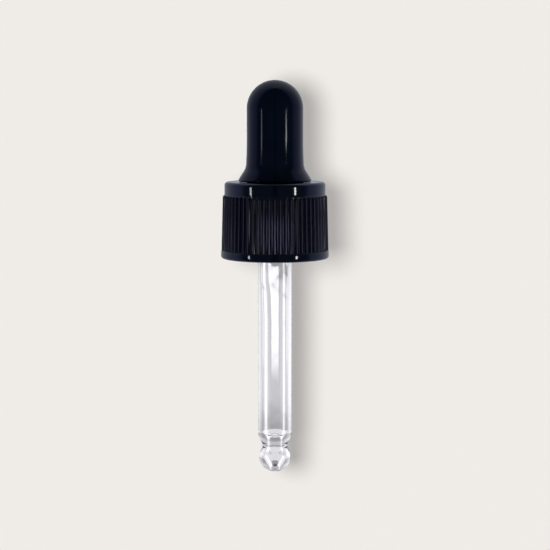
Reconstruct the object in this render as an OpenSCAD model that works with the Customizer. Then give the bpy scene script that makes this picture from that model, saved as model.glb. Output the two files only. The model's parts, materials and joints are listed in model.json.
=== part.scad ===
// Medicine dropper: a rubber bulb, a ribbed screw cap and a glass pipette.
// Millimetres. The axis of the dropper is +Z, with the bulb up and the tip down.
// The origin is on the axis in the sealing plane, where the bottle's rim meets the bulb's gasket.

/* [Screw cap] */
// Height of the cap, rim to top face
cap_h = 15.9; // [15:0.05:18]
// Diameter over the smooth rim at the mouth
cap_rim_d = 22.5; // [22.3:0.1:23]
// Diameter of the smooth collar above the ribs
cap_collar_d = 21; // [20.8:0.1:21.2]
// Height of the smooth collar
cap_collar_h = 2.75; // [2:0.05:3.5]
// Height of the smooth rim
cap_rim_h = 1.75; // [1:0.05:2]
// Thickness of the top wall around its hole
cap_top_t = 1.5; // [1.2:0.1:1.8]
// Number of grip ribs
rib_count = 60; // [40:2:60]
// Radius of one half-round rib
rib_r = 0.38; // [0.3:0.02:0.44]
// Diameter of the wall that carries the thread
thread_root_d = 18.2; // [18:0.1:18.4]
// Diameter over the thread's crest
thread_crest_d = 16.9; // [16.8:0.1:17.2]
// Rise of the thread in one turn
thread_pitch = 3; // [2.5:0.1:3.2]
// Number of thread turns
thread_turns = 1.75; // [1:0.25:2]

/* [Rubber bulb] */
// Outer diameter of the bulb
bulb_d = 11.7; // [11.4:0.1:12]
// Height of the bulb above the cap's top face
bulb_h = 21; // [20:0.5:24]
// Thickness of the bulb's wall
bulb_wall = 1.4; // [1.2:0.1:1.6]
// Diameter of the foot that flares out over the cap
foot_d = 15.2; // [14.8:0.1:15.8]
// Diameter of the gasket that is clamped on the bottle's rim
gasket_d = 16.4; // [16:0.1:16.6]
// Width of the part of each side that is pinched in
pinch_w = 6.8; // [6:0.2:6.8]
// Height of the part of each side that is pinched in
pinch_h = 8.6; // [6:0.2:8.6]

/* [Glass pipette] */
// Outer diameter of the glass tube
tube_d = 7; // [6.8:0.1:7.2]
// Diameter of the bore
tube_bore_d = 3.5; // [3:0.1:4]
// Reach of the pipette below the sealing plane
tube_reach = 58; // [55:0.5:64]
// Length of glass held inside the bulb's neck
tube_grip = 7.4; // [7:0.1:7.6]
// Diameter of the constriction above the tip
neck_d = 5.42; // [5.2:0.02:5.6]
// Diameter of the ball at the tip
ball_d = 6.56; // [6.2:0.02:6.8]
// Diameter of the outlet
outlet_d = 1.5; // [1:0.1:1.8]

/* [Fits] */
// Gap between the cap and the bulb, which turns in it
running_gap = 0.05; // [0.02:0.01:0.1]

/* [Hidden] */
$fn = 96;

// Cap heights, measured from the sealing plane
cap_top_z = 3;
cap_mouth_z = cap_top_z - cap_h;
cap_ceiling_z = cap_top_z - cap_top_t;
rib_top_z = cap_top_z - cap_collar_h;
rim_top_z = cap_mouth_z + cap_rim_h;
cap_top_round = 0.7;
cap_rim_round = 0.5;
rim_draft = 0.03;
mouth_bevel = 0.5;

// The ribs stand on a wall that widens a little towards the mouth
collar_r = cap_collar_d / 2;
rim_r = cap_rim_d / 2;
floor_r = collar_r + 0.2;
rib_top_r = collar_r - 0.02;
rib_setback = 0.1;
rib_low_r = rim_r - rib_r - rib_setback;
rib_root = 0.2;
rib_len = rib_top_z - rim_top_z;
rib_lean = atan((rib_low_r - rib_top_r) / rib_len);
rib_nose = 0.45;
rib_nose_r = rib_r / 4;

// Thread section and its run-out at both ends
thread_h = (thread_root_d - thread_crest_d) / 2;
thread_root_w = 1.7;
thread_crest_w = 0.8;
thread_start = 1.9;
thread_low_z = -thread_start - thread_pitch * thread_turns;
thread_buried = 0.25;
thread_step = 10;
thread_fade = 40;

// Bulb heights and radii
bulb_r = bulb_d / 2;
cavity_r = bulb_r - bulb_wall;
dome_z = cap_top_z + bulb_h - bulb_r;
foot_r = foot_d / 2;
foot_z = cap_top_z + running_gap;
foot_lip = 0.3;
foot_edge_angle = -75;
flare_angle = 30;
flare_round = 3.2;
waist_r = bulb_r + 0.14;
waist_low_z = cap_top_z + 3.9;
waist_h = 5.2;
groove_r = bulb_r;
hole_r = groove_r + running_gap;
gasket_t = cap_ceiling_z - running_gap;
gasket_bevel = 0.3;
grip_top_z = tube_grip - 1;

// The pinched sides are the straight part of the bulb's wall, below the dome
pinch_top_z = dome_z - 0.04;
pinch_low_z = pinch_top_z - pinch_h;

// Pipette heights and radii; the ball is flatter below its middle than above
tube_r = tube_d / 2;
bore_r = tube_bore_d / 2;
tip_z = -tube_reach;
ball_z = tip_z + 2.5;
neck_low_z = ball_z + 2.1;
neck_top_z = ball_z + 4;
shoulder_round = 1.35;
shoulder_z = neck_top_z + shoulder_round;
shoulder_r = tube_r - shoulder_round;
ball_r = ball_d / 2;
ball_low_h = 2.65;
ball_high_h = 3.75;
neck_r = neck_d / 2;
outlet_r = outlet_d / 2;
outlet_lip = 0.5;
tip_edge_angle = -66;
ball_join_angle = 5;
neck_join_angle = 34;
shoulder_edge_angle = -62;
end_round = 0.4;
end_bevel = 0.3;

// Inside of the tip: the bore closes to a throat, opens into a small pocket in the ball, then the outlet
bore_end_z = shoulder_z + 0.6;
bore_end_round = 0.5;
bore_end_angle = -80;
throat_r = bore_r - 0.55;
pocket_r = throat_r + 0.45;
pocket_top_z = ball_z + 0.6;
pocket_low_z = ball_z - 0.2;
pocket_floor_z = ball_z - 0.9;

// Points along an arc or an ellipse's arc, centre (r, z), from angle a to angle b
function arc(r, z, size_r, size_z, a, b, steps) =
    [for (i = [0:steps])
        let (turn = a + (b - a) * i / steps)
        [r + size_r * cos(turn), z + size_z * sin(turn)]];

// Ring of four points across the thread at one angle: the section sinks into the wall at both ends
function thread_ring(angle, last) =
    let (fade = min(1, angle / thread_fade, (last - angle) / thread_fade))
    let (out = thread_root_d / 2 + thread_buried)
    let (crest = thread_root_d / 2 - thread_h * fade + thread_buried / 2 * (1 - fade))
    let (z = thread_low_z + thread_pitch * angle / 360)
    [
        [out * cos(angle), out * sin(angle), z + thread_root_w / 2],
        [crest * cos(angle), crest * sin(angle), z + thread_crest_w / 2],
        [crest * cos(angle), crest * sin(angle), z - thread_crest_w / 2],
        [out * cos(angle), out * sin(angle), z - thread_root_w / 2]
    ];

// Internal thread of the cap
module thread() {
    last = 360 * thread_turns;
    rings = round(last / thread_step);
    points = [for (i = [0:rings]) each thread_ring(last * i / rings, last)];
    sides = [for (i = [0:rings - 1], k = [0:3])
        let (next = (k + 1) % 4)
        [4 * i + k, 4 * i + next, 4 * i + 4 + next, 4 * i + 4 + k]];
    low_end = [3, 2, 1, 0];
    high_end = [for (k = [0:3]) 4 * rings + k];
    polyhedron(points, concat([low_end], sides, [high_end]), 6);
}

// One half-round grip rib with a tapered upper end
module rib() {
    translate([rib_low_r, 0, rim_top_z - rib_root])
        rotate([0, -rib_lean, 0]) {
            cylinder(h = rib_len + rib_root - rib_nose, r = rib_r);
            translate([0, 0, rib_len + rib_root - rib_nose])
                cylinder(h = rib_nose, r1 = rib_r, r2 = rib_nose_r);
        }
}

// Screw cap: wall, top with its hole, collar, rim, ribs and thread
module cap() color([0.05, 0.05, 0.06]) {
    rotate_extrude()
        polygon(concat(
            [[hole_r, cap_top_z]],
            arc(collar_r - cap_top_round, cap_top_z - cap_top_round, cap_top_round, cap_top_round, 90, 0, 6),
            [[collar_r, rib_top_z], [floor_r, rim_top_z], [rim_r - rim_draft, rim_top_z]],
            arc(rim_r - cap_rim_round, cap_mouth_z + cap_rim_round, cap_rim_round, cap_rim_round, 0, -90, 5),
            [
                [thread_root_d / 2 + mouth_bevel, cap_mouth_z],
                [thread_root_d / 2, cap_mouth_z + mouth_bevel],
                [thread_root_d / 2, cap_ceiling_z],
                [hole_r, cap_ceiling_z]
            ]
        ));
    for (i = [0:rib_count - 1])
        rotate([0, 0, 360 * i / rib_count])
            rib();
    thread();
}

// The whole bulb as one moulding: gasket, groove, flared foot, wall, dome and neck bore
module bulb_moulding() {
    rotate_extrude()
        polygon(concat(
            [[tube_r + gasket_bevel, 0], [gasket_d / 2 - gasket_bevel, 0], [gasket_d / 2, gasket_bevel]],
            [[gasket_d / 2, gasket_t], [groove_r, gasket_t], [groove_r, foot_z], [foot_r - foot_lip, foot_z]],
            arc(foot_r - foot_lip, foot_z + foot_lip, foot_lip, foot_lip, foot_edge_angle, flare_angle, 5),
            arc(waist_r + flare_round, waist_low_z, flare_round, flare_round, 180 + flare_angle, 180, 6),
            [[bulb_r, waist_low_z + waist_h]],
            arc(0, dome_z, bulb_r, bulb_r, 0, 90, 16),
            arc(0, dome_z, cavity_r, cavity_r, 90, 0, 16),
            [[cavity_r, grip_top_z + cavity_r - tube_r], [tube_r, grip_top_z], [tube_r, gasket_bevel]]
        ));
}

// Block that marks out one pinched side, on +X; a clearance makes it larger
module pinch_block(clearance) {
    translate([0, -pinch_w / 2 - clearance, pinch_low_z - clearance])
        cube([bulb_d, pinch_w + 2 * clearance, pinch_h + 2 * clearance]);
}

// Bulb without its two pinched sides
module bulb() color([0.03, 0.035, 0.05]) {
    difference() {
        bulb_moulding();
        pinch_block(running_gap);
        mirror([1, 0, 0])
            pinch_block(running_gap);
    }
}

// Side of the bulb that a fingertip pushes in, on -X
module bulb_left_wall() color([0.04, 0.045, 0.06]) {
    intersection() {
        bulb_moulding();
        mirror([1, 0, 0])
            pinch_block(0);
    }
}

// Side of the bulb that the thumb pushes in, on +X
module bulb_right_wall() color([0.04, 0.045, 0.06]) {
    intersection() {
        bulb_moulding();
        pinch_block(0);
    }
}

// Glass tube with a fire-polished top, a rounded shoulder, a constriction and a ball tip
module pipette() color([0.85, 0.9, 0.92, 0.4]) {
    rotate_extrude()
        polygon(concat(
            [[outlet_r, tip_z], [outlet_r + outlet_lip, tip_z]],
            arc(0, ball_z, ball_r, ball_low_h, tip_edge_angle, 0, 7),
            arc(0, ball_z, ball_r, ball_high_h, ball_join_angle, neck_join_angle, 4),
            [[neck_r, neck_top_z]],
            arc(shoulder_r, shoulder_z, shoulder_round, shoulder_round, shoulder_edge_angle, 0, 6),
            arc(tube_r - end_round, tube_grip - end_round, end_round, end_round, 0, 90, 3),
            [[bore_r + end_bevel, tube_grip], [bore_r, tube_grip - end_bevel]],
            arc(bore_r - bore_end_round, bore_end_z, bore_end_round, bore_end_round, 0, bore_end_angle, 4),
            [[throat_r, neck_top_z], [throat_r, neck_low_z], [pocket_r, pocket_top_z]],
            [[pocket_r, pocket_low_z], [outlet_r, pocket_floor_z]]
        ));
}

cap();
bulb();
bulb_left_wall();
bulb_right_wall();
pipette();
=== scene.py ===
import json
import math

import bmesh
import bpy
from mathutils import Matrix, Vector


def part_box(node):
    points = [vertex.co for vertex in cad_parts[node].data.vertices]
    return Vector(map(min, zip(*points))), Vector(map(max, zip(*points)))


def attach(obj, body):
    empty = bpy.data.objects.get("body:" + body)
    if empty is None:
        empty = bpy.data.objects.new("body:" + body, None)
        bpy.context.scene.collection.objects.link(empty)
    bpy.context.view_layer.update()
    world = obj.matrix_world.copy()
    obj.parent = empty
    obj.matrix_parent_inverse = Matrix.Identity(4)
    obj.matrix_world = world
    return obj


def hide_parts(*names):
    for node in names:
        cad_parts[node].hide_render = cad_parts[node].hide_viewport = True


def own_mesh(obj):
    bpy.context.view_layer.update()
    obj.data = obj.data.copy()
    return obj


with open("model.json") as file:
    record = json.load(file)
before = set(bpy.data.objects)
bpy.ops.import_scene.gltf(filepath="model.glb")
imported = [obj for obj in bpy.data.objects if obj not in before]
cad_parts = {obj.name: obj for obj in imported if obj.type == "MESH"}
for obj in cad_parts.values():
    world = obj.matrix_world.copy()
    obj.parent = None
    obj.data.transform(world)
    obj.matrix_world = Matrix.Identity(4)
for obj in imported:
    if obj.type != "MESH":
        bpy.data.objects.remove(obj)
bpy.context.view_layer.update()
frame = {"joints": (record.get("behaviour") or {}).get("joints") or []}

MM = 0.001

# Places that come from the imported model, in millimetres
cap_low, cap_high = (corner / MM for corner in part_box("cap"))
bulb_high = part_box("bulb")[1] / MM
glass_low, glass_high = (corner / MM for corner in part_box("pipette"))
pinch_low, pinch_high = (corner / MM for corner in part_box("bulb_right_wall"))
squeeze = next(joint for joint in frame["joints"] if joint["name"] == "bulb_squeeze")
pinch_travel = squeeze["range_m"][1] / MM

top_z = cap_high.z
mouth_z = cap_low.z
rim_r = cap_high.x
tip_z = glass_low.z
tube_r = glass_high.x
crown_z = bulb_high.z
gasket_r = bulb_high.x
pinch_r = pinch_high.x
axis_middle = (crown_z + tip_z) / 2


def arc(r, z, size_r, size_z, start, end, steps):
    """Points along an ellipse's arc in the (radius, height) plane, angles in degrees."""
    turn = (math.radians(start + (end - start) * i / steps) for i in range(steps + 1))
    return [(r + size_r * math.cos(a), z + size_z * math.sin(a)) for a in turn]


def line(start, end, steps):
    """Points from start up to end, without end itself."""
    return [tuple(s + (e - s) * i / steps for s, e in zip(start, end)) for i in range(steps)]


def soften(points, rounds):
    """Cuts the corners of an outline, again and again, until they are round."""
    for _ in range(rounds):
        cut = [points[0]]
        for a, b in zip(points, points[1:]):
            cut.append(tuple(0.75 * p + 0.25 * q for p, q in zip(a, b)))
            cut.append(tuple(0.25 * p + 0.75 * q for p, q in zip(a, b)))
        points = cut + [points[-1]]
    return points


def smoothstep(value, low, high):
    """0 below low, 1 above high, and an even S curve between them."""
    share = min(1.0, max(0.0, (value - low) / (high - low)))
    return share * share * (3 - 2 * share)


def turned(name, outline, angles, closed, shape=None):
    """A mesh turned about the Z axis from an outline in millimetres. A closed outline makes a ring, and an
    open one starts and ends on the axis. shape(r, z, angle) may change the radius of a point."""
    shape = shape or (lambda r, z, angle: r)
    points, rings = [], []
    for r, z in outline:
        if r < 1e-6:
            rings.append([len(points)] * len(angles))
            points.append((0, 0, z * MM))
            continue
        rings.append(list(range(len(points), len(points) + len(angles))))
        for angle in angles:
            radius = shape(r, z, angle)
            points.append((radius * math.cos(angle) * MM, radius * math.sin(angle) * MM, z * MM))
    pairs = list(zip(rings, rings[1:])) + ([(rings[-1], rings[0])] if closed else [])
    faces = []
    for low, high in pairs:
        for i in range(len(angles)):
            j = (i + 1) % len(angles)
            corners = [low[i], low[j], high[j], high[i]]
            faces.append(list(dict.fromkeys(corners)))
    mesh = bpy.data.meshes.new(name)
    mesh.from_pydata(points, [], faces)
    shell = bmesh.new()
    shell.from_mesh(mesh)
    bmesh.ops.recalc_face_normals(shell, faces=shell.faces)
    shell.to_mesh(mesh)
    shell.free()
    mesh.polygons.foreach_set("use_smooth", [True] * len(mesh.polygons))
    piece = bpy.data.objects.new(name, mesh)
    bpy.context.scene.collection.objects.link(piece)
    return piece


def round_angles(count):
    return [2 * math.pi * i / count for i in range(count)]


class Nodes:
    """A node tree, with short ways to add and join its nodes."""

    def __init__(self, tree):
        self.tree = tree
        tree.nodes.clear()

    def add(self, kind, **settings):
        node = self.tree.nodes.new(kind)
        for name, value in settings.items():
            setattr(node, name, value)
        return node

    def join(self, source, target):
        self.tree.links.new(source, target)

    def feed(self, socket, value):
        """Joins another node's output to a socket, or sets the socket to a plain value."""
        if isinstance(value, bpy.types.NodeSocket):
            self.join(value, socket)
        else:
            socket.default_value = value

    def math(self, operation, first, second=0.0):
        node = self.add("ShaderNodeMath", operation=operation)
        self.feed(node.inputs[0], first)
        self.feed(node.inputs[1], second)
        return node.outputs[0]

    def total(self, first, *others):
        for value in others:
            first = self.math("ADD", first, value)
        return first

    def product(self, first, *others):
        for value in others:
            first = self.math("MULTIPLY", first, value)
        return first

    def ramp(self, value, low, high, to_low, to_high, kind="SMOOTHSTEP"):
        """to_low where value is at low, to_high where it is at high, and level beyond them."""
        node = self.add("ShaderNodeMapRange", interpolation_type=kind)
        self.join(value, node.inputs["Value"])
        limits = {"From Min": low, "From Max": high, "To Min": to_low, "To Max": to_high}
        for name, number in limits.items():
            node.inputs[name].default_value = number
        return node.outputs["Result"]

    def split(self, vector):
        node = self.add("ShaderNodeSeparateXYZ")
        self.join(vector, node.inputs[0])
        return node.outputs

    def background(self, colour, strength):
        node = self.add("ShaderNodeBackground")
        node.inputs["Color"].default_value = (*colour, 1)
        self.feed(node.inputs["Strength"], strength)
        return node.outputs[0]

    def mix(self, share, first, second):
        node = self.add("ShaderNodeMixShader")
        for socket, source in zip(node.inputs, (share, first, second)):
            self.join(source, socket)
        return node.outputs[0]

    def both(self, first, second):
        node = self.add("ShaderNodeAddShader")
        self.join(first, node.inputs[0])
        self.join(second, node.inputs[1])
        return node.outputs[0]


# ---------------------------------------------------------------- rubber bulb

WALL = 1.4
BULB_R = 5.85
GROOVE_R = BULB_R
DOME_Z = crown_z - BULB_R
CAVITY_R = BULB_R - WALL
FOOT_R = 7.6
FOOT_Z = top_z + 0.05
FOOT_LIP = 0.3
FLARE_ANGLE = 30
FLARE_ROUND = 3.2
WAIST_R = BULB_R + 0.14
WAIST_Z = top_z + 3.9
WAIST_H = 5.2
WAIST_ROWS = 12
GASKET_T = 1.45
GRIP_Z = 6.4
EDGE = 0.25
GLASS_GAP = 0.02


def bulb_outline():
    """Crown, wall, flared foot, groove, gasket and neck bore, and up through the cavity to its top."""
    downs = (i / WAIST_ROWS for i in range(WAIST_ROWS))
    waist = [(BULB_R + (WAIST_R - BULB_R) * down ** 2, WAIST_Z + WAIST_H * (1 - down)) for down in downs]
    bore_r = tube_r + GLASS_GAP
    return (
        arc(0, DOME_Z, BULB_R, BULB_R, 90, 0, 28)
        + line((BULB_R, DOME_Z - 0.4), (BULB_R, WAIST_Z + WAIST_H), 14)
        + waist
        + arc(WAIST_R + FLARE_ROUND, WAIST_Z, FLARE_ROUND, FLARE_ROUND, 180, 180 + FLARE_ANGLE, 8)
        + arc(FOOT_R - FOOT_LIP, FOOT_Z + FOOT_LIP, FOOT_LIP, FOOT_LIP, FLARE_ANGLE, -90, 8)
        + [(GROOVE_R, FOOT_Z), (GROOVE_R, GASKET_T)]
        + arc(gasket_r - EDGE, GASKET_T - EDGE, EDGE, EDGE, 90, 0, 4)
        + arc(gasket_r - EDGE, EDGE, EDGE, EDGE, 0, -90, 4)
        + [(bore_r + EDGE, 0), (bore_r, EDGE), (bore_r, GRIP_Z)]
        + line((CAVITY_R, GRIP_Z + CAVITY_R - tube_r), (CAVITY_R, DOME_Z), 20)
        + arc(0, DOME_Z, CAVITY_R, CAVITY_R, 0, 90, 16)
    )


KEEP = 0.5
SQUEEZE_LOW = (pinch_low.z - 3.6, pinch_low.z + 3.2)
SQUEEZE_HIGH = (pinch_high.z - 3.0, crown_z + 0.4)
BULGE = 0.2


def squeeze_nodes(piece):
    """This reads how far it went, and instead pinches the bulb's middle and lets it bulge sideways, while
    foot, groove and gasket stay round."""
    rest = piece.data.attributes.new("rest_place", "FLOAT_VECTOR", "POINT")
    rest.data.foreach_set("vector", [c for v in piece.data.vertices for c in v.co])
    group = bpy.data.node_groups.new("bulb_squeeze", "GeometryNodeTree")
    group.interface.new_socket("Geometry", in_out="INPUT", socket_type="NodeSocketGeometry")
    group.interface.new_socket("Geometry", in_out="OUTPUT", socket_type="NodeSocketGeometry")
    g = Nodes(group)
    start, end = g.add("NodeGroupInput"), g.add("NodeGroupOutput")
    named = g.add("GeometryNodeInputNamedAttribute", data_type="FLOAT_VECTOR")
    named.inputs["Name"].default_value = "rest_place"
    x, y, z = g.split(named.outputs["Attribute"])
    now_x = g.split(g.add("GeometryNodeInputPosition").outputs[0])["X"]

    def widest(source):
        reach = g.add("GeometryNodeAttributeStatistic")
        g.join(start.outputs[0], reach.inputs["Geometry"])
        g.join(source, reach.inputs["Attribute"])
        return reach.outputs["Max"]

    kept = g.math("DIVIDE", widest(now_x), widest(x))
    share = g.math("DIVIDE", g.math("SUBTRACT", 1.0, kept), 1.0 - KEEP)
    above = g.ramp(z, SQUEEZE_LOW[0] * MM, SQUEEZE_LOW[1] * MM, 0, 1)
    below = g.ramp(z, SQUEEZE_HIGH[0] * MM, SQUEEZE_HIGH[1] * MM, 1, 0)
    amount = g.product(share, above, below)
    pinch = g.math("SUBTRACT", 1.0, g.product(amount, pinch_travel / pinch_r))
    bulge = g.total(1.0, g.product(amount, BULGE))
    place = g.add("ShaderNodeCombineXYZ")
    for socket, source in zip(place.inputs, (g.product(x, pinch), g.product(y, bulge), z)):
        g.join(source, socket)
    move = g.add("GeometryNodeSetPosition")
    g.join(start.outputs[0], move.inputs["Geometry"])
    g.join(place.outputs[0], move.inputs["Position"])
    g.join(move.outputs[0], end.inputs[0])
    piece.modifiers.new("squeeze", "NODES").node_group = group


def make_bulb(material):
    bulb = turned("rubber_bulb", bulb_outline(), round_angles(144), closed=False)
    bulb.data.materials.append(material)
    squeeze_nodes(bulb)
    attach(bulb, "dropper")
    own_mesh(bulb)
    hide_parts("bulb", "bulb_left_wall", "bulb_right_wall")


# ------------------------------------------------------------------ screw cap

RIBS = 60
COLLAR_R = 10.5
COLLAR_H = 2.75
RIM_H = 1.75
RIM_TOP_Z = mouth_z + RIM_H
RIB_TOP_Z = top_z - COLLAR_H
# The grooves' floor starts a step out from the collar and flares out on its way down to the rim
FLOOR_STEP = 0.02
FLOOR_FLARE = 0.30
FLOOR_LOW_R = COLLAR_R + FLOOR_STEP + FLOOR_FLARE
FLOOR_TOP_Z = RIB_TOP_Z - 0.9
FLOOR_LOW_Z = RIM_TOP_Z + 0.02
FLOOR_ROWS = 12
NOSE_H = 0.55
NOSE_ROWS = 8
CREST_TOP_R = COLLAR_R + 0.36
CREST_LOW_R = rim_r - 0.1
TOP_ROUND = 0.7
RIM_ROUND = 0.5
RIM_BEVEL = 0.17
RIM_TAPER = 0.03
MOUTH_BEVEL = 0.5
HOLE_R = GROOVE_R + 0.05
CEILING_Z = top_z - 1.5
THREAD_R = 9.1
THREAD_H = 0.65
THREAD_PITCH = 3.0
THREAD_TURNS = 1.75
THREAD_START = 1.9
THREAD_ZONE = (mouth_z + 0.6, -0.5)
THREAD_ROOT_W = 1.7
THREAD_CREST_W = 0.8
THREAD_FADE = math.radians(40)
# Where the columns stand across one rib and its groove, from the crest to the groove and on to the crest
RIB_HALF = (0, 0.06, 0.12, 0.17, 0.22, 0.29, 0.36, 0.42)
RIB_COLUMNS = RIB_HALF + (0.5,) + tuple(round(1 - share, 2) for share in RIB_HALF[:0:-1])
# Half widths and heights of the rounded crest and groove, as shares of the pitch and of the rib's height
CREST_W = 0.14
GROOVE_W = 0.13
CREST_FALL = 0.16
GROOVE_RISE = 0.02


def rib_height(floor_r, z, angle):
    """How far the ribbed wall stands out from its grooves' floor, at one point."""
    phase = (angle * RIBS / (2 * math.pi)) % 1
    across = min(phase, 1 - phase)
    low = 0.5 - across
    if across < CREST_W:
        crest = 1 - CREST_FALL * (across / CREST_W) ** 2
    elif low < GROOVE_W:
        crest = GROOVE_RISE * (low / GROOVE_W) ** 2
    else:
        share = (across - CREST_W) / (0.5 - GROOVE_W - CREST_W)
        crest = 1 - CREST_FALL - share * (1 - CREST_FALL - GROOVE_RISE)
    down = (RIB_TOP_Z - z) / (RIB_TOP_Z - RIM_TOP_Z)
    tall = CREST_TOP_R + down * (CREST_LOW_R - CREST_TOP_R) - floor_r
    nose = math.sqrt(1 - (1 - min(1, max(0, (RIB_TOP_Z - z) / NOSE_H))) ** 2)
    return crest * tall * nose


def thread_height(z, angle):
    """How far the internal thread stands in from the wall, at one point."""
    deepest = -THREAD_START - THREAD_PITCH * THREAD_TURNS
    last = 2 * math.pi * THREAD_TURNS
    most = 0.0
    for lap in range(int(THREAD_TURNS) + 1):
        along = angle + 2 * math.pi * lap
        if along > last:
            continue
        away = abs(z - deepest - THREAD_PITCH * along / (2 * math.pi))
        flank = 1 - smoothstep(away, THREAD_CREST_W / 2, THREAD_ROOT_W / 2)
        most = max(most, flank * min(1, along / THREAD_FADE, (last - along) / THREAD_FADE))
    return THREAD_H * most


def cap_shape(r, z, angle):
    """Raises the ribs from the grooves' floor, and the thread from the wall inside."""
    if r > COLLAR_R - 0.01 and RIM_TOP_Z < z < RIB_TOP_Z:
        return r + rib_height(r, z, angle)
    if abs(r - THREAD_R) < 0.01 and THREAD_ZONE[0] < z < THREAD_ZONE[1]:
        return r - thread_height(z, angle)
    return r


def cap_outline():
    """Top face, collar, ribbed wall, rim, mouth, threaded wall and ceiling, back to the hole."""
    turns = (math.pi / 2 * i / NOSE_ROWS for i in range(NOSE_ROWS + 1))
    nose = [(COLLAR_R, RIB_TOP_Z - NOSE_H * (1 - math.cos(turn))) for turn in turns]
    floor = []
    for i in range(FLOOR_ROWS + 1):
        down = i / FLOOR_ROWS
        r = COLLAR_R + FLOOR_STEP + FLOOR_FLARE * down ** 2
        floor.append((r, FLOOR_TOP_Z - down * (FLOOR_TOP_Z - FLOOR_LOW_Z)))
    return (
        arc(HOLE_R + EDGE, top_z - EDGE, EDGE, EDGE, 180, 90, 4)
        + arc(COLLAR_R - TOP_ROUND, top_z - TOP_ROUND, TOP_ROUND, TOP_ROUND, 90, 0, 10)
        + line((COLLAR_R, top_z - TOP_ROUND - 0.1), (COLLAR_R, RIB_TOP_Z + 0.05), 4)
        + nose
        + floor
        + [(FLOOR_LOW_R, (FLOOR_LOW_Z + RIM_TOP_Z) / 2)]
        + arc(rim_r - RIM_TAPER - RIM_BEVEL, RIM_TOP_Z - RIM_BEVEL, RIM_BEVEL, RIM_BEVEL, 90, 0, 4)
        + [(rim_r, RIM_TOP_Z - 0.6)]
        + arc(rim_r - RIM_ROUND, mouth_z + RIM_ROUND, RIM_ROUND, RIM_ROUND, 0, -90, 8)
        + [(THREAD_R + MOUTH_BEVEL, mouth_z), (THREAD_R + 0.12, mouth_z + MOUTH_BEVEL / 2)]
        + line((THREAD_R, mouth_z + MOUTH_BEVEL), (THREAD_R, 0), 44)
        + [(THREAD_R, CEILING_Z - EDGE), (THREAD_R - EDGE, CEILING_Z), (HOLE_R, CEILING_Z)]
    )


def make_cap(material):
    pitch = 2 * math.pi / RIBS
    angles = [pitch * (i + share) for i in range(RIBS) for share in RIB_COLUMNS]
    cap = turned("ribbed_cap", cap_outline(), angles, closed=True, shape=cap_shape)
    cap.data.materials.append(material)
    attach(cap, "closure")
    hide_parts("cap")


# --------------------------------------------------------------- glass pipette

BORE_R = 1.75
NECK_R = 2.62
BALL_R = 3.28
BALL_Z = tip_z + 2.5
BALL_LOW_H = 2.65
SHOULDER_Z = BALL_Z + 5.3
THROAT_R = 1.2
POCKET_R = 1.65
OUTLET_R = 0.8
OUTLET_ROUND = 0.15
OUTLET_LIP = 0.2
POLISH_OUT = 0.4
POLISH_IN = 0.3
TUBE_ROWS = 90
# Slow waves in the bore: size in mm, radians per mm up the tube, turns round it, and start
WAVES = ((0.014, 0.6, 1, 0.3), (0.012, 1.1, 2, 1.9), (0.006, 2.1, 3, 4.1))
WAVES_END = mouth_z - 24
WAVES_LEFT = 0.15
# The bore is wider on its left by this much from the second height up, and by nothing below the first
THIN_SIDE = 0.25
THIN_SIDE_Z = (mouth_z - 12, mouth_z - 2)


def tip_outside():
    """From the straight tube over the shoulder and the constriction to the ball's middle."""
    points = [
        (tube_r, BALL_Z + 5.6),
        (tube_r, BALL_Z + 5.0),
        (tube_r - 0.3, BALL_Z + 4.2),
        (NECK_R + 0.15, BALL_Z + 3.5),
        (NECK_R, BALL_Z + 2.95),
        (NECK_R + 0.02, BALL_Z + 2.4),
        (NECK_R + 0.35, BALL_Z + 1.75),
        (BALL_R - 0.04, BALL_Z + 0.85),
        (BALL_R, BALL_Z + 0.3),
        (BALL_R, BALL_Z),
    ]
    return soften(points, 3)


def tip_inside():
    """From the outlet up through the ball's pocket and the throat to the bore."""
    points = [
        (OUTLET_R, tip_z + OUTLET_ROUND),
        (OUTLET_R, tip_z + 1.3),
        (OUTLET_R + 0.28, tip_z + 1.66),
        (POCKET_R - 0.3, tip_z + 2.05),
        (POCKET_R, BALL_Z + 0.2),
        (POCKET_R, BALL_Z + 0.7),
        (THROAT_R + 0.15, BALL_Z + 1.7),
        (THROAT_R, BALL_Z + 2.6),
        (THROAT_R, BALL_Z + 4.3),
        (THROAT_R + 0.15, BALL_Z + 5.2),
        (BORE_R, BALL_Z + 5.5),
        (BORE_R, SHOULDER_Z + 1.6),
    ]
    return soften(points, 3)


def pipette_outline():
    """Down the outside from the polished top to the tip, and back up inside."""
    top = glass_high.z
    return (
        arc(tube_r - POLISH_OUT, top - POLISH_OUT, POLISH_OUT, POLISH_OUT, 90, 0, 6)
        + line((tube_r, top - 1), (tube_r, SHOULDER_Z + 0.7), 30)
        + tip_outside()
        + arc(0, BALL_Z, BALL_R, BALL_LOW_H, -5, -64, 12)
        + arc(OUTLET_R + 3 * OUTLET_ROUND, tip_z + OUTLET_ROUND, OUTLET_LIP, OUTLET_ROUND, -60, -90, 2)
        + arc(OUTLET_R + OUTLET_ROUND, tip_z + OUTLET_ROUND, OUTLET_ROUND, OUTLET_ROUND, -90, -180, 4)
        + tip_inside()[1:]
        + line((BORE_R, SHOULDER_Z + 1.8), (BORE_R, top - POLISH_OUT), TUBE_ROWS)
        + arc(BORE_R + POLISH_IN, top - POLISH_IN, POLISH_IN, POLISH_IN, 180, 90, 4)
    )


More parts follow.
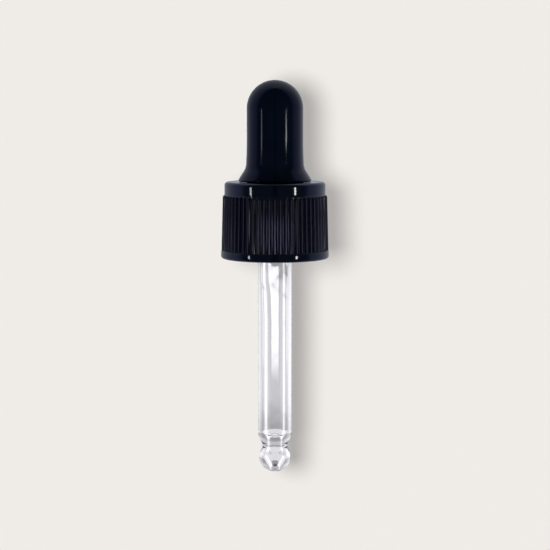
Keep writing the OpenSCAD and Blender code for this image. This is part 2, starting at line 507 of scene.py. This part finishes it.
def drawn_bore(r, z, angle):
    """Drawing leaves the bore a few hundredths of a millimetre out of round, in slow waves that fade
    towards the tip, and its wall thinner on one side near the cap."""
    if abs(r - BORE_R) > 0.01 or z < SHOULDER_Z + 2 or z > glass_high.z - 1:
        return r
    fade = WAVES_LEFT + (1 - WAVES_LEFT) * smoothstep(z, WAVES_END, mouth_z)
    wave = sum(size * math.sin(rate * z + turns * angle + start) for size, rate, turns, start in WAVES)
    thin = THIN_SIDE * smoothstep(z, *THIN_SIDE_Z) * max(0.0, -math.cos(angle)) ** 2
    return r + fade * wave + thin


def make_pipette(material):
    angles = round_angles(128)
    pipette = turned("glass_pipette", pipette_outline(), angles, closed=True, shape=drawn_bore)
    pipette.data.materials.append(material)
    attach(pipette, "dropper")
    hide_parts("pipette")


# ------------------------------------------------------------------- materials

class Material(Nodes):
    """A piece's material: one principled surface, fed by patterns in the piece's own space."""

    def __init__(self, name):
        self.material = bpy.data.materials.new(name)
        self.material.use_nodes = True
        super().__init__(self.material.node_tree)
        self.surface = self.add("ShaderNodeBsdfPrincipled")
        output = self.add("ShaderNodeOutputMaterial")
        self.join(self.surface.outputs["BSDF"], output.inputs["Surface"])

    def set(self, name, value):
        self.feed(self.surface.inputs[name], value)

    def noise(self, scale, detail=2.0, stretch=(1, 1, 1)):
        """Noise in the piece's own space. scale is in waves per metre."""
        place = self.add("ShaderNodeTexCoord")
        mapping = self.add("ShaderNodeMapping")
        mapping.inputs["Scale"].default_value = stretch
        texture = self.add("ShaderNodeTexNoise")
        texture.inputs["Scale"].default_value = scale
        texture.inputs["Detail"].default_value = detail
        self.join(place.outputs["Object"], mapping.inputs["Vector"])
        self.join(mapping.outputs["Vector"], texture.inputs["Vector"])
        return texture.outputs["Fac"]

    def blend(self, share, first, second):
        """A colour that goes from first to second as share goes from 0 to 1."""
        node = self.add("ShaderNodeMix", data_type="RGBA")
        self.join(share, node.inputs["Factor"])
        node.inputs[6].default_value = (*first, 1)
        node.inputs[7].default_value = (*second, 1)
        return node.outputs[2]

    def bump(self, height, distance, strength, below=None):
        node = self.add("ShaderNodeBump")
        node.inputs["Strength"].default_value = strength
        node.inputs["Distance"].default_value = distance
        self.join(height, node.inputs["Height"])
        if below is not None:
            self.join(below, node.inputs["Normal"])
        return node.outputs["Normal"]

    def place(self):
        """The piece's own coordinates, and the distance from its axis, in metres."""
        where = self.add("ShaderNodeTexCoord")
        x, y, z = self.split(where.outputs["Object"])
        squares = self.total(self.product(x, x), self.product(y, y))
        return x, y, z, self.math("SQRT", squares)


RUBBER_DARK = (0.0024, 0.0050, 0.0150)
RUBBER_PALE = (0.0040, 0.0070, 0.0195)


def rubber_material():
    """Smooth moulded rubber: near black with a blue cast, soft gloss, fine grain and faint mottling."""
    s = Material("bulb_rubber")
    mottle = s.noise(260, 3)
    grain = s.noise(5200, 2)
    s.set("Base Color", s.blend(s.ramp(mottle, 0.35, 0.7, 0, 1), RUBBER_DARK, RUBBER_PALE))
    s.set("Roughness", s.ramp(mottle, 0.3, 0.75, 0.08, 0.13))
    s.set("Normal", s.bump(grain, 0.002 * MM, 0.4))
    s.set("Specular IOR Level", 0.36)
    return s.material


PLASTIC_DARK = (0.0028, 0.0038, 0.0115)
# The pale colour that is painted on the ribs as painted highlights and reflections
PLASTIC_SHEEN = (0.155, 0.163, 0.27)
PLASTIC_GLOSS = 0.75
RIB_GLOSS_LOSS = 0.58
# The ribs are painted paler in a patch at the middle of the front, a painted reflection of the light in
# front of them, which fades out from here to twice as far to the sides, and from the lower height to the
# higher one
SHEEN_PATCH_X = 2.2
SHEEN_PATCH_LOW_Z = RIB_TOP_Z - 5.5
SHEEN_PATCH_HIGH_Z = RIB_TOP_Z - 2
# On the two flanks the ribs' walls are painted a little paler too, as painted reflection of the room at the
# sides, and their crests less so, between these places
FLANK_LOW_X = 0.70 * COLLAR_R
FLANK_HIGH_X = 0.92 * COLLAR_R
# How far each painted-sheen part goes from the dark colour to the pale sheen colour
CREST_SHEEN = 0.36
SHEEN_PATCH_CREST = 0.64
SHEEN_PATCH_GROOVE = 0.85
FLANK_CREST_SHEEN_LOSS = 0.15
FLANK_SHEEN = 0.17


def rib_parts(s, z, radius):
    """Masks of the ribs' crests and of the grooves, from how far a point stands out from the floor."""
    down = s.ramp(z, RIM_TOP_Z * MM, RIB_TOP_Z * MM, 1, 0, "LINEAR")
    crest_r = s.ramp(down, 0, 1, CREST_TOP_R * MM, CREST_LOW_R * MM, "LINEAR")
    floor_r = s.total(s.product(down, down, FLOOR_FLARE * MM), COLLAR_R * MM)
    height = s.math("DIVIDE", s.math("SUBTRACT", radius, floor_r), s.math("SUBTRACT", crest_r, floor_r))
    return s.ramp(height, 0.86, 0.96, 0, 1), s.ramp(height, 0.02, 0.07, 1, 0)


def rib_painted_sheen(s, x, y, z, radius):
    """How much each part of the ribbed wall is painted paler, from 0 to 1: painted highlight lines on the
    crests, the painted reflection patch at the front, and painted reflection on the flanks.
    """
    crest, groove = rib_parts(s, z, radius)
    aside = s.math("ABSOLUTE", x)
    front = s.product(s.ramp(aside, SHEEN_PATCH_X * MM, 2 * SHEEN_PATCH_X * MM, 1, 0), s.ramp(y, -MM, MM, 1, 0))
    sheen_patch = s.product(front, s.ramp(z, SHEEN_PATCH_LOW_Z * MM, SHEEN_PATCH_HIGH_Z * MM, 1, 0))
    flank = s.ramp(aside, FLANK_LOW_X * MM, FLANK_HIGH_X * MM, 0, 1)
    most = s.total(CREST_SHEEN, s.product(sheen_patch, SHEEN_PATCH_CREST))
    weight = s.math("SUBTRACT", most, s.product(flank, FLANK_CREST_SHEEN_LOSS))
    grooves = s.product(groove, s.product(sheen_patch, SHEEN_PATCH_GROOVE))
    return s.total(s.product(crest, weight), grooves, s.product(flank, FLANK_SHEEN))


def plastic_material():
    """Moulded black plastic: glossy collar and rim; the rib crests, a patch at the front and the flanks are
    painted paler as painted highlights and reflections.
    """
    s = Material("cap_plastic")
    x, y, z, radius = s.place()
    above_rim = s.ramp(z, (RIM_TOP_Z - 0.1) * MM, (RIM_TOP_Z + 0.1) * MM, 0, 1)
    ribbed = s.product(s.ramp(z, (RIB_TOP_Z - 0.4) * MM, RIB_TOP_Z * MM, 1, 0), above_rim)
    low = s.ramp(z, (RIM_TOP_Z + 4) * MM, (RIB_TOP_Z - 3) * MM, 1, 0.6)
    cloud = s.noise(420, 3)
    streak = s.noise(300, 2, (1, 1, 0.05))
    # Painted sheen on the ribs in place of their highlights and reflections, stronger low down and streaked
    # by noise
    painted_sheen = s.product(rib_painted_sheen(s, x, y, z, radius), ribbed, low)
    streaked_sheen = s.product(painted_sheen, s.ramp(streak, 0.3, 0.7, 0.75, 1))
    s.set("Base Color", s.blend(streaked_sheen, PLASTIC_DARK, PLASTIC_SHEEN))
    s.set("Roughness", s.total(s.ramp(cloud, 0.3, 0.7, 0.05, 0.10), s.product(ribbed, low, 0.06)))
    fine = s.bump(s.noise(2600, 2), 0.001 * MM, 0.2)
    s.set("Normal", s.bump(cloud, 0.006 * MM, 0.3, fine))
    s.set("Specular IOR Level", s.math("SUBTRACT", PLASTIC_GLOSS, s.product(ribbed, RIB_GLOSS_LOSS)))
    return s.material


GLASS_IOR = 1.5
GLASS_CLEAR = (0.985, 0.985, 0.995)
GLASS_HAZY = (0.97, 0.97, 0.985)


def glass_material():
    """Clear drawn glass: faint draw lines along the tube and a trace of haze."""
    s = Material("pipette_glass")
    lines = s.noise(1500, 2, (1, 1, 0.02))
    haze = s.noise(300, 3)
    s.set("Base Color", s.blend(s.ramp(haze, 0.3, 0.7, 0, 1), GLASS_CLEAR, GLASS_HAZY))
    s.set("Roughness", s.ramp(haze, 0.35, 0.75, 0.0, 0.02))
    s.set("Normal", s.bump(lines, 0.004 * MM, 0.3))
    s.set("IOR", GLASS_IOR)
    s.set("Transmission Weight", 1.0)
    return s.material


# ---------------------------------------------------------------- camera, room

PAGE = (0.8632, 0.8388, 0.7991)
VIEW_DISTANCE = 330
EYE_Z = top_z + 16.1
AIM_Z = axis_middle + 0.5
FOCAL_SHARE = 2.887
SENSOR = 36


def make_camera():
    """A long lens, level with the bulb and looking down a little at the middle of the dropper."""
    data = bpy.data.cameras.new("camera")
    data.sensor_width = SENSOR
    data.lens = SENSOR * FOCAL_SHARE
    data.clip_start, data.clip_end = 0.02, 20
    camera = bpy.data.objects.new("camera", data)
    camera.location = (0, -VIEW_DISTANCE * MM, EYE_Z * MM)
    aim = Vector((0, 0, AIM_Z * MM)) - camera.location
    camera.rotation_euler = aim.to_track_quat("-Z", "Y").to_euler()
    bpy.context.scene.collection.objects.link(camera)
    bpy.context.scene.camera = camera


# The room round the pieces, in ramps: from one angle in degrees to another, the light goes from the third
# number to the fourth. First what is seen through the glass, by height above the horizon
GROUND = (-5.4, -7.4, 0.46, 0.70)
GROUND_SHADE = (-11.8, -10.4, 0.62, 1)
GROUND_FOOT = (-12.3, -12.7, 0, 0.62)
SKY = (6, 18, 0, 0.9)
CARD_FOOT = (-30, -16, 0.5, 1)
WINDOW_TOP = (-5.75, -6.2, 0, 1)
WINDOW_FOOT = (-10.2, -8.7, 0, 0.6)
HIGH = (12, 30, 1, 0.85)
HORIZON = (-6.1, -5.6, 1, 0.8)
# Through the glass, by angle from straight behind
CARDS = (20, 62, 0, 0.62)
RIGHT_CARD_SHIFT = 12.0
WINDOW_SIDE = (8.6, 10.4, 1, 0)
WINDOW_ARCH = 0.005
# By angle from the camera's side: what is behind the camera is dark
BEHIND_CAMERA = (70, 100, 0.08, 1)
BLUISH_START = (68, 90, 0.0, 0.2)
BLUISH_END = (95, 140, 1, 0.3)
PALE_BACK = (90, 140, 0.0, 0.28)
CAMERA_GAP = (2, 9, 0.3, 1)
# By direction to the right, from -1 to 1
PALER_RIGHT = (-0.3, 0.3, 1, 1.25)

CLEAR_LIGHT = (0.985, 0.98, 1.0)
PALE_LIGHT = (1, 1, 1)
BLUISH_LIGHT = (0.78, 0.86, 1.75)
FRONT_LIGHT = (0.4, 0.8, 1.3)
FRONT_STRENGTH = 0.05


def seen_through(w, x, off_axis, off_view, rise):
    """Seen through the glass: a pale ground with a bright window in it, and white cards at the sides."""
    shade = w.total(w.ramp(rise, *GROUND_SHADE), w.ramp(rise, *GROUND_FOOT), w.ramp(rise, *SKY))
    ground = w.product(w.ramp(rise, *GROUND), shade)
    inset = w.math("SUBTRACT", off_axis, w.product(w.math("GREATER_THAN", x, 0.0), RIGHT_CARD_SHIFT))
    cards = w.product(w.ramp(inset, *CARDS), w.ramp(rise, *CARD_FOOT))
    arch = w.math("SUBTRACT", rise, w.product(off_axis, off_axis, WINDOW_ARCH))
    window = w.product(w.ramp(off_axis, *WINDOW_SIDE), w.ramp(arch, *WINDOW_TOP), w.ramp(rise, *WINDOW_FOOT))
    studio = w.product(w.ramp(off_view, *BEHIND_CAMERA), w.ramp(rise, *HIGH), w.ramp(rise, *HORIZON))
    return w.product(w.total(ground, cards, window), studio)


def reflected(w, x, off_view):
    """Reflected by the dark pieces: dim in front, bluish at the sides and paler towards the back."""
    back = w.background(PALE_LIGHT, w.product(w.ramp(off_view, *PALE_BACK), w.ramp(x, *PALER_RIGHT)))
    bluish = w.product(w.ramp(off_view, *BLUISH_START), w.ramp(off_view, *BLUISH_END))
    sides = w.background(BLUISH_LIGHT, bluish)
    front = w.background(FRONT_LIGHT, w.product(w.ramp(off_view, *CAMERA_GAP), FRONT_STRENGTH))
    return w.both(w.both(back, sides), front)


def make_world():
    """The room that the pieces reflect and refract. The camera itself sees only the plain page, and no
    surface gets any diffuse light from the room."""
    world = bpy.data.worlds.new("studio")
    bpy.context.scene.world = world
    world.use_nodes = True
    w = Nodes(world.node_tree)
    x, y, z = w.split(w.add("ShaderNodeTexCoord").outputs["Generated"])
    flat = w.math("SQRT", w.total(w.product(x, x), w.product(y, y)))
    # Angles from straight behind, from the camera's side and above the horizon, in degrees
    degrees = 180 / math.pi
    off_axis = w.product(w.math("ARCTAN2", w.math("ABSOLUTE", x), y), degrees)
    off_view = w.math("SUBTRACT", 180.0, off_axis)
    rise = w.product(w.math("ARCTAN2", z, flat), degrees)

    path = w.add("ShaderNodeLightPath")
    clear = w.background(CLEAR_LIGHT, seen_through(w, x, off_axis, off_view, rise))
    room = w.mix(path.outputs["Is Transmission Ray"], reflected(w, x, off_view), clear)
    bounced = w.ramp(path.outputs["Diffuse Depth"], 0.4, 0.6, 0, 1)
    unseen = w.mix(bounced, room, w.background((0, 0, 0), 0.0))
    seen = w.mix(path.outputs["Is Camera Ray"], unseen, w.background(PAGE, 1.0))
    w.join(seen, w.add("ShaderNodeOutputWorld").inputs["Surface"])


# ---------------------------------------------------------- wall, floor, lamps

WALL_Y = 16
FLOOR_Z = tip_z - 60
BOARD = 3.0
SHADOW_DEPTH = 0.5
SHADOW_REACH = (90, 150)
LAMP_X = -82
LAMP_R = 62
LAMP_PLACE = Vector((LAMP_X, -VIEW_DISTANCE, EYE_Z)) * MM
LAMP_TO_WALL = (VIEW_DISTANCE + WALL_Y) * MM
LAMP_TRIM = 1.03


def board_material(name, shaded):
    """Pale board that glows evenly. Near the dropper half of its light comes from the shadow lamp
    instead, levelled for distance, so that only the shadow shows. Seen from its back it is clear."""
    material = bpy.data.materials.new(name)
    material.use_nodes = True
    b = Nodes(material.node_tree)
    place = b.add("ShaderNodeNewGeometry")

    def distance_from(point):
        node = b.add("ShaderNodeVectorMath", operation="DISTANCE")
        b.join(place.outputs["Position"], node.inputs[0])
        node.inputs[1].default_value = point
        return node.outputs["Value"]

    def shader(kind, colour, factor):
        scaled = b.add("ShaderNodeVectorMath", operation="SCALE")
        scaled.inputs[0].default_value = colour
        b.join(factor, scaled.inputs["Scale"])
        node = b.add(kind)
        b.join(scaled.outputs[0], node.inputs["Color"])
        return node.outputs[0]

    middle = (0, WALL_Y * MM, axis_middle * MM)
    near, far = (reach * MM for reach in SHADOW_REACH)
    lamp_share = b.ramp(distance_from(middle), near, far, SHADOW_DEPTH if shaded else 0.0, 0.0)
    glow = shader("ShaderNodeEmission", PAGE, b.math("SUBTRACT", 1.0, lamp_share))
    level = b.math("POWER", b.math("DIVIDE", distance_from(LAMP_PLACE), LAMP_TO_WALL), 3.0)
    board = shader("ShaderNodeBsdfDiffuse", PAGE, b.product(lamp_share, level))
    clear = b.add("ShaderNodeBsdfTransparent").outputs[0]
    front = b.mix(place.outputs["Backfacing"], b.both(glow, board), clear)
    b.join(front, b.add("ShaderNodeOutputMaterial").inputs["Surface"])
    return material


def make_board(name, corners, shaded):
    mesh = bpy.data.meshes.new(name)
    mesh.from_pydata(corners, [], [(0, 1, 2, 3)])
    board = bpy.data.objects.new(name, mesh)
    board.data.materials.append(board_material(name, shaded))
    board.visible_glossy = False
    board.visible_transmission = False
    board.visible_diffuse = False
    board.visible_shadow = False
    bpy.context.scene.collection.objects.link(board)
    return board


def add_lamp(name, data, place, facing=None):
    """Puts a lamp in the scene that the camera doesn't see, and aims it where that matters."""
    lamp = bpy.data.objects.new(name, data)
    lamp.location = place
    if facing is not None:
        lamp.rotation_euler = (facing - lamp.location).to_track_quat("-Z", "Y").to_euler()
    lamp.visible_camera = False
    bpy.context.scene.collection.objects.link(lamp)
    return lamp


def make_stage():
    """A pale wall close behind the dropper and a pale floor below it. The wall has a soft lamp of its
    own, as far away as the camera, so the shadow keeps the dropper's size."""
    y, z, b = WALL_Y * MM, FLOOR_Z * MM, BOARD
    boards = bpy.data.collections.new("stage_boards")
    boards.objects.link(make_board("wall", [(-b, y, z), (b, y, z), (b, y, b), (-b, y, b)], True))
    boards.objects.link(make_board("floor", [(-b, y, z), (-b, -b, z), (b, -b, z), (b, y, z)], False))
    data = bpy.data.lights.new("shadow_lamp", "POINT")
    data.energy = 4 * math.pi ** 2 * LAMP_TO_WALL ** 2 * LAMP_TRIM
    data.shadow_soft_size = LAMP_R * MM
    soft = add_lamp("shadow_lamp", data, LAMP_PLACE)
    soft.visible_glossy = False
    soft.visible_transmission = False
    soft.light_linking.receiver_collection = boards


STRIP_FOOT_Z = mouth_z - 57
STRIP_DISTANCE = 460
WARM_WHITE = (1, 0.99, 0.96)
COOL_WHITE = (0.96, 0.98, 1)
FILL_SIZE = 200
FILL_DISTANCE = 380
FILL_DROP = 160
FILL_RADIANCE = 4.5


def make_strip(name, azimuth, width, top, distance, radiance, colour, lit):
    """A narrow upright strip lamp. azimuth is measured from the camera's side, positive to the right."""
    turn = math.radians(azimuth)
    data = bpy.data.lights.new(name, "AREA")
    data.shape = "RECTANGLE"
    data.size, data.size_y = width * MM, (top - STRIP_FOOT_Z) * MM
    data.energy = radiance * math.pi * data.size * data.size_y
    data.color = colour
    z = (top + STRIP_FOOT_Z) / 2 * MM
    place = Vector((distance * math.sin(turn) * MM, -distance * math.cos(turn) * MM, z))
    add_lamp(name, data, place, facing=Vector((0, 0, z))).light_linking.receiver_collection = lit


def make_fill(lit):
    """A soft card below the camera that only the pieces' own colour shows; it has no reflection."""
    data = bpy.data.lights.new("fill", "AREA")
    data.shape = "SQUARE"
    data.size = FILL_SIZE * MM
    data.energy = FILL_RADIANCE * math.pi * data.size ** 2
    place = Vector((0, -FILL_DISTANCE, mouth_z - FILL_DROP)) * MM
    fill = add_lamp("fill", data, place, facing=Vector((0, 0, mouth_z * MM)))
    fill.visible_glossy = False
    fill.visible_transmission = False
    fill.light_linking.receiver_collection = lit


def make_lights():
    """Two strips for the glints on the bulb and the cap, the left one stronger below than above."""
    lit = bpy.data.collections.new("lit_pieces")
    for name in ("rubber_bulb", "ribbed_cap"):
        lit.objects.link(bpy.data.objects[name])
    make_strip("strip_right", 46.0, 28, top_z + 7, STRIP_DISTANCE, 14.0, WARM_WHITE, lit)
    make_strip("strip_left", -56.0, 30, top_z + 17, STRIP_DISTANCE, 2.6, COOL_WHITE, lit)
    make_strip("strip_left_low", -56.0, 30, top_z - 8, STRIP_DISTANCE - 1, 5.0, COOL_WHITE, lit)
    make_fill(lit)


make_camera()
make_bulb(rubber_material())
make_cap(plastic_material())
make_pipette(glass_material())
make_world()
make_stage()
make_lights()

bpy.context.scene.view_settings.view_transform = "Standard"
